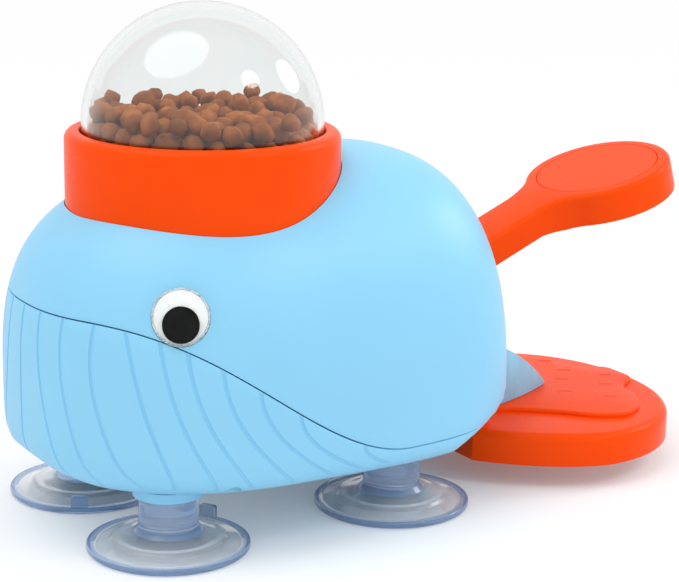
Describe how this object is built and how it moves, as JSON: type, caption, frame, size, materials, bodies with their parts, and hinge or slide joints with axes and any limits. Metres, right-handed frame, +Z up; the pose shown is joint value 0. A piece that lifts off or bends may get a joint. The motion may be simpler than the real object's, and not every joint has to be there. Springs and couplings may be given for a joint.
{
  "type": "suction cup puzzle feeder",
  "caption": "Pet puzzle feeder on four suction cups: pressing an orange paddle opens a gate that pours dry food from a clear dome hopper into a low tray.",
  "frame": {"origin": "middle of the feeder's outline at floor level", "axes": "+X from the head to the food tray, +Y towards its right side, +Z up"},
  "size_m": [0.2936, 0.144, 0.1937],
  "materials": {
    "body_plastic": "satin",
    "orange_plastic": "satin",
    "clear_plastic": "clear",
    "cup_pvc": "clear",
    "white_plastic": "gloss",
    "black_plastic": "gloss",
    "steel": "satin"
  },
  "bodies": {
    "root": {"upper_shell": "body_plastic", "belly_shell": "body_plastic", "hopper_collar": "orange_plastic", "hopper_funnel": "body_plastic", "lever_cradle": "white_plastic", "pivot_bushes": "white_plastic", "pivot_pin": "steel", "pin_clip": "steel", "return_spring": "steel", "discharge_chute": "body_plastic", "food_tray": "orange_plastic", "shell_screws": "steel", "collar_screws": "steel", "cradle_screws": "steel", "tray_screws": "steel", "suction_cup_front_left": "cup_pvc", "suction_cup_front_right": "cup_pvc", "suction_cup_rear_left": "cup_pvc", "suction_cup_rear_right": "cup_pvc", "eye_backing_left": "white_plastic", "eye_cover_left": "clear_plastic", "eye_backing_right": "white_plastic", "eye_cover_right": "clear_plastic"},
    "lever": {"press_lever": "orange_plastic", "gate_plate": "white_plastic"},
    "dome": {"dome_lid": "clear_plastic"},
    "pupil_left": {"eye_pupil_left": "black_plastic"},
    "pupil_right": {"eye_pupil_right": "black_plastic"}
  },
  "joints": [
    {"name": "lever_press", "type": "hinge", "parent": "root", "child": "lever", "pos_m": [0.0157, 0, 0.072], "axis": [0, 1, 0], "range_deg": [0, 13], "stiffness_Nm_per_rad": 0.25, "springref_deg": -20.05, "deforming": ["return_spring"]},
    {"name": "dome_lift", "type": "slide", "parent": "root", "child": "dome", "axis": [0, 0, 1], "range_m": [0, 0.06]},
    {"name": "pupil_left_roll", "type": "hinge", "parent": "root", "child": "pupil_left", "pos_m": [-0.1104, -0.0563, 0.092], "axis": [-0.424, -0.8385, 0.3422], "continuous": true},
    {"name": "pupil_right_roll", "type": "hinge", "parent": "root", "child": "pupil_right", "pos_m": [-0.1104, 0.0563, 0.092], "axis": [-0.424, 0.8385, 0.3422], "continuous": true}
  ]
}
